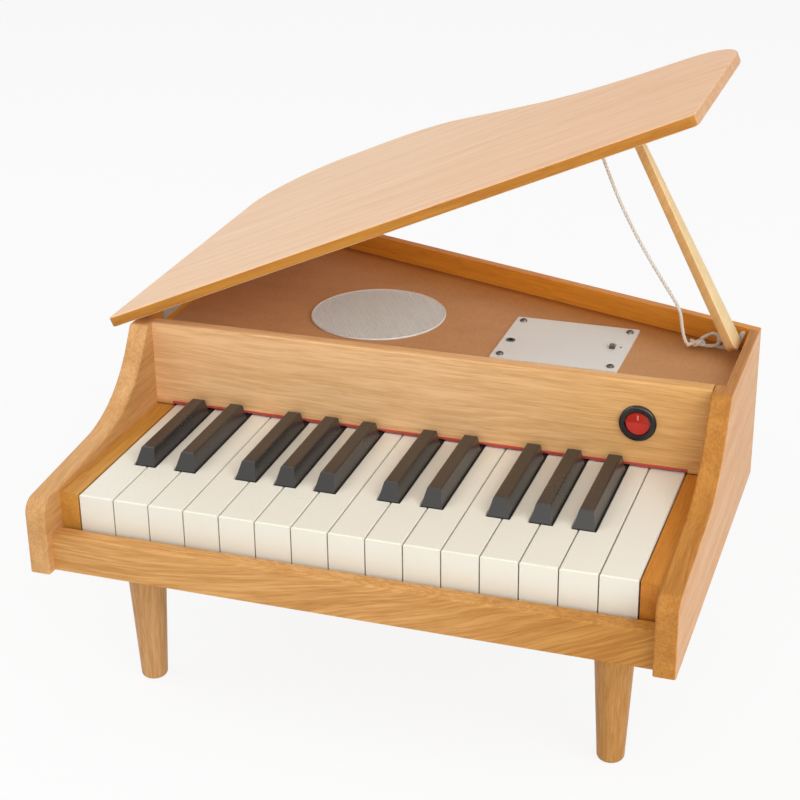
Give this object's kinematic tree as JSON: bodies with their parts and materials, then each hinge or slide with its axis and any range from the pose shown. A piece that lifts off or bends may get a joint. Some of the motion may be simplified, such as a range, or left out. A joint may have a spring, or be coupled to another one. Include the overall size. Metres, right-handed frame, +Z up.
{
  "type": "toy piano",
  "caption": "Toy grand piano: sprung keys in a wooden case with swooping cheeks on turned legs, curved lid held open by a folding prop and cord, speaker grille and rocker switch.",
  "frame": {"origin": "on the floor under the middle of the box of the piano with its lid open, without the cord", "axes": "+X to the player's right along the keyboard, +Y from the keyboard to the tail, +Z up"},
  "size_m": [0.4004, 0.4506, 0.3599],
  "materials": {
    "honey_oak": "oak veneer with satin lacquer",
    "pink_veneer": "pale veneer with satin lacquer",
    "plain_board": "unfinished board",
    "brown_board": "brown stained board, matt",
    "leg_wood": "turned hardwood with satin lacquer",
    "pale_wood": "pale hardwood, satin",
    "ivory_plastic": "glossy ivory",
    "black_plastic": "satin black",
    "bezel_plastic": "glossy black",
    "red_plastic": "glossy red",
    "red_felt": "red felt",
    "stop_felt": "grey felt",
    "silver_mesh": "satin perforated sheet",
    "speaker_steel": "black",
    "speaker_paper": "matt",
    "plate_plastic": "off-white, matt",
    "screw_steel": "dark steel",
    "hinge_steel": "plated steel",
    "bare_steel": "bright steel",
    "circuit_laminate": "green laminate",
    "tray_plastic": "black",
    "contact_rubber": "grey silicone rubber",
    "white_cord": "twisted off-white cord"
  },
  "bodies": {
    "case": {"side_left": "honey_oak", "side_right": "honey_oak", "rear_wall": "honey_oak", "bottom_board": "plain_board", "keyslip": "honey_oak", "key_blocks": "honey_oak", "fallboard": "honey_oak", "nameboard_felt": "red_felt", "switch_bezel": "bezel_plastic", "soundboard": "brown_board", "speaker_grille": "silver_mesh", "speaker_frame": "speaker_steel", "speaker_cone": "speaker_paper", "cover_plate": "plate_plastic", "plate_screws": "screw_steel", "jack_socket": "bezel_plastic", "circuit_board": "circuit_laminate", "battery_box": "tray_plastic", "balance_rail": "plain_board", "key_rod": "bare_steel", "key_felts": "stop_felt", "contact_strip": "contact_rubber", "hinge_case_leaves": "hinge_steel", "prop_bracket": "hinge_steel", "lid_cord": "white_cord", "leg_front_left": "leg_wood", "leg_front_right": "leg_wood", "leg_rear": "leg_wood", "leg_studs": "bare_steel"},
    "lid": {"lid": "pink_veneer", "hinge_lid_leaves": "hinge_steel"},
    "prop": {"prop_stick": "pale_wood"},
    "rocker": {"switch_rocker": "red_plastic"},
    "slide": {"slide_knob": "bezel_plastic"},
    "key_white_01": {"white_01": "ivory_plastic"},
    "key_white_02": {"white_02": "ivory_plastic"},
    "key_white_03": {"white_03": "ivory_plastic"},
    "key_white_04": {"white_04": "ivory_plastic"},
    "key_white_05": {"white_05": "ivory_plastic"},
    "key_white_06": {"white_06": "ivory_plastic"},
    "key_white_07": {"white_07": "ivory_plastic"},
    "key_white_08": {"white_08": "ivory_plastic"},
    "key_white_09": {"white_09": "ivory_plastic"},
    "key_white_10": {"white_10": "ivory_plastic"},
    "key_white_11": {"white_11": "ivory_plastic"},
    "key_white_12": {"white_12": "ivory_plastic"},
    "key_white_13": {"white_13": "ivory_plastic"},
    "key_white_14": {"white_14": "ivory_plastic"},
    "key_white_15": {"white_15": "ivory_plastic"},
    "key_black_01": {"black_01": "black_plastic"},
    "key_black_02": {"black_02": "black_plastic"},
    "key_black_03": {"black_03": "black_plastic"},
    "key_black_04": {"black_04": "black_plastic"},
    "key_black_05": {"black_05": "black_plastic"},
    "key_black_06": {"black_06": "black_plastic"},
    "key_black_07": {"black_07": "black_plastic"},
    "key_black_08": {"black_08": "black_plastic"},
    "key_black_09": {"black_09": "black_plastic"},
    "key_black_10": {"black_10": "black_plastic"}
  },
  "joints": [
    {"name": "press_white_01", "type": "hinge", "parent": "case", "child": "key_white_01", "pos_m": [-0.14381, -0.04525, 0.1315], "axis": [1, 0, 0], "range_deg": [0, 2.15], "stiffness_Nm_per_rad": 0.5, "springref_deg": -6.88},
    {"name": "press_white_02", "type": "hinge", "parent": "case", "child": "key_white_02", "pos_m": [-0.12181, -0.04525, 0.1315], "axis": [1, 0, 0], "range_deg": [0, 2.15], "stiffness_Nm_per_rad": 0.5, "springref_deg": -6.88},
    {"name": "press_white_03", "type": "hinge", "parent": "case", "child": "key_white_03", "pos_m": [-0.09981, -0.04525, 0.1315], "axis": [1, 0, 0], "range_deg": [0, 2.15], "stiffness_Nm_per_rad": 0.5, "springref_deg": -6.88},
    {"name": "press_white_04", "type": "hinge", "parent": "case", "child": "key_white_04", "pos_m": [-0.07781, -0.04525, 0.1315], "axis": [1, 0, 0], "range_deg": [0, 2.15], "stiffness_Nm_per_rad": 0.5, "springref_deg": -6.88},
    {"name": "press_white_05", "type": "hinge", "parent": "case", "child": "key_white_05", "pos_m": [-0.05581, -0.04525, 0.1315], "axis": [1, 0, 0], "range_deg": [0, 2.15], "stiffness_Nm_per_rad": 0.5, "springref_deg": -6.88},
    {"name": "press_white_06", "type": "hinge", "parent": "case", "child": "key_white_06", "pos_m": [-0.03381, -0.04525, 0.1315], "axis": [1, 0, 0], "range_deg": [0, 2.15], "stiffness_Nm_per_rad": 0.5, "springref_deg": -6.88},
    {"name": "press_white_07", "type": "hinge", "parent": "case", "child": "key_white_07", "pos_m": [-0.01181, -0.04525, 0.1315], "axis": [1, 0, 0], "range_deg": [0, 2.15], "stiffness_Nm_per_rad": 0.5, "springref_deg": -6.88},
    {"name": "press_white_08", "type": "hinge", "parent": "case", "child": "key_white_08", "pos_m": [0.01019, -0.04525, 0.1315], "axis": [1, 0, 0], "range_deg": [0, 2.15], "stiffness_Nm_per_rad": 0.5, "springref_deg": -6.88},
    {"name": "press_white_09", "type": "hinge", "parent": "case", "child": "key_white_09", "pos_m": [0.03219, -0.04525, 0.1315], "axis": [1, 0, 0], "range_deg": [0, 2.15], "stiffness_Nm_per_rad": 0.5, "springref_deg": -6.88},
    {"name": "press_white_10", "type": "hinge", "parent": "case", "child": "key_white_10", "pos_m": [0.05419, -0.04525, 0.1315], "axis": [1, 0, 0], "range_deg": [0, 2.15], "stiffness_Nm_per_rad": 0.5, "springref_deg": -6.88},
    {"name": "press_white_11", "type": "hinge", "parent": "case", "child": "key_white_11", "pos_m": [0.07619, -0.04525, 0.1315], "axis": [1, 0, 0], "range_deg": [0, 2.15], "stiffness_Nm_per_rad": 0.5, "springref_deg": -6.88},
    {"name": "press_white_12", "type": "hinge", "parent": "case", "child": "key_white_12", "pos_m": [0.09819, -0.04525, 0.1315], "axis": [1, 0, 0], "range_deg": [0, 2.15], "stiffness_Nm_per_rad": 0.5, "springref_deg": -6.88},
    {"name": "press_white_13", "type": "hinge", "parent": "case", "child": "key_white_13", "pos_m": [0.12019, -0.04525, 0.1315], "axis": [1, 0, 0], "range_deg": [0, 2.15], "stiffness_Nm_per_rad": 0.5, "springref_deg": -6.88},
    {"name": "press_white_14", "type": "hinge", "parent": "case", "child": "key_white_14", "pos_m": [0.14219, -0.04525, 0.1315], "axis": [1, 0, 0], "range_deg": [0, 2.15], "stiffness_Nm_per_rad": 0.5, "springref_deg": -6.88},
    {"name": "press_white_15", "type": "hinge", "parent": "case", "child": "key_white_15", "pos_m": [0.16419, -0.04525, 0.1315], "axis": [1, 0, 0], "range_deg": [0, 2.15], "stiffness_Nm_per_rad": 0.5, "springref_deg": -6.88},
    {"name": "press_black_01", "type": "hinge", "parent": "case", "child": "key_black_01", "pos_m": [-0.13477, -0.04525, 0.1315], "axis": [1, 0, 0], "range_deg": [0, 2.15], "stiffness_Nm_per_rad": 0.5, "springref_deg": -6.88},
    {"name": "press_black_02", "type": "hinge", "parent": "case", "child": "key_black_02", "pos_m": [-0.10885, -0.04525, 0.1315], "axis": [1, 0, 0], "range_deg": [0, 2.15], "stiffness_Nm_per_rad": 0.5, "springref_deg": -6.88},
    {"name": "press_black_03", "type": "hinge", "parent": "case", "child": "key_black_03", "pos_m": [-0.06961, -0.04525, 0.1315], "axis": [1, 0, 0], "range_deg": [0, 2.15], "stiffness_Nm_per_rad": 0.5, "springref_deg": -6.88},
    {"name": "press_black_04", "type": "hinge", "parent": "case", "child": "key_black_04", "pos_m": [-0.04481, -0.04525, 0.1315], "axis": [1, 0, 0], "range_deg": [0, 2.15], "stiffness_Nm_per_rad": 0.5, "springref_deg": -6.88},
    {"name": "press_black_05", "type": "hinge", "parent": "case", "child": "key_black_05", "pos_m": [-0.02001, -0.04525, 0.1315], "axis": [1, 0, 0], "range_deg": [0, 2.15], "stiffness_Nm_per_rad": 0.5, "springref_deg": -6.88},
    {"name": "press_black_06", "type": "hinge", "parent": "case", "child": "key_black_06", "pos_m": [0.01923, -0.04525, 0.1315], "axis": [1, 0, 0], "range_deg": [0, 2.15], "stiffness_Nm_per_rad": 0.5, "springref_deg": -6.88},
    {"name": "press_black_07", "type": "hinge", "parent": "case", "child": "key_black_07", "pos_m": [0.04515, -0.04525, 0.1315], "axis": [1, 0, 0], "range_deg": [0, 2.15], "stiffness_Nm_per_rad": 0.5, "springref_deg": -6.88},
    {"name": "press_black_08", "type": "hinge", "parent": "case", "child": "key_black_08", "pos_m": [0.08439, -0.04525, 0.1315], "axis": [1, 0, 0], "range_deg": [0, 2.15], "stiffness_Nm_per_rad": 0.5, "springref_deg": -6.88},
    {"name": "press_black_09", "type": "hinge", "parent": "case", "child": "key_black_09", "pos_m": [0.10919, -0.04525, 0.1315], "axis": [1, 0, 0], "range_deg": [0, 2.15], "stiffness_Nm_per_rad": 0.5, "springref_deg": -6.88},
    {"name": "press_black_10", "type": "hinge", "parent": "case", "child": "key_black_10", "pos_m": [0.13399, -0.04525, 0.1315], "axis": [1, 0, 0], "range_deg": [0, 2.15], "stiffness_Nm_per_rad": 0.5, "springref_deg": -6.88},
    {"name": "lid_hinge", "type": "hinge", "parent": "case", "child": "lid", "pos_m": [-0.17181, -0.04525, 0.2001], "axis": [0, -1, 0], "range_deg": [0, 2], "deforming": ["lid_cord"]},
    {"name": "prop_fold", "type": "hinge", "parent": "case", "child": "prop", "pos_m": [0.18299, 0.01376, 0.196], "axis": [0, -1, 0], "range_deg": [0, 62]},
    {"name": "rocker_tilt", "type": "hinge", "parent": "case", "child": "rocker", "pos_m": [0.14529, -0.07265, 0.1713], "axis": [-1, 0, 0], "range_deg": [0, 12]},
    {"name": "slide_travel", "type": "slide", "parent": "case", "child": "slide", "axis": [0, 1, 0], "range_m": [0, 0.004]}
  ]
}
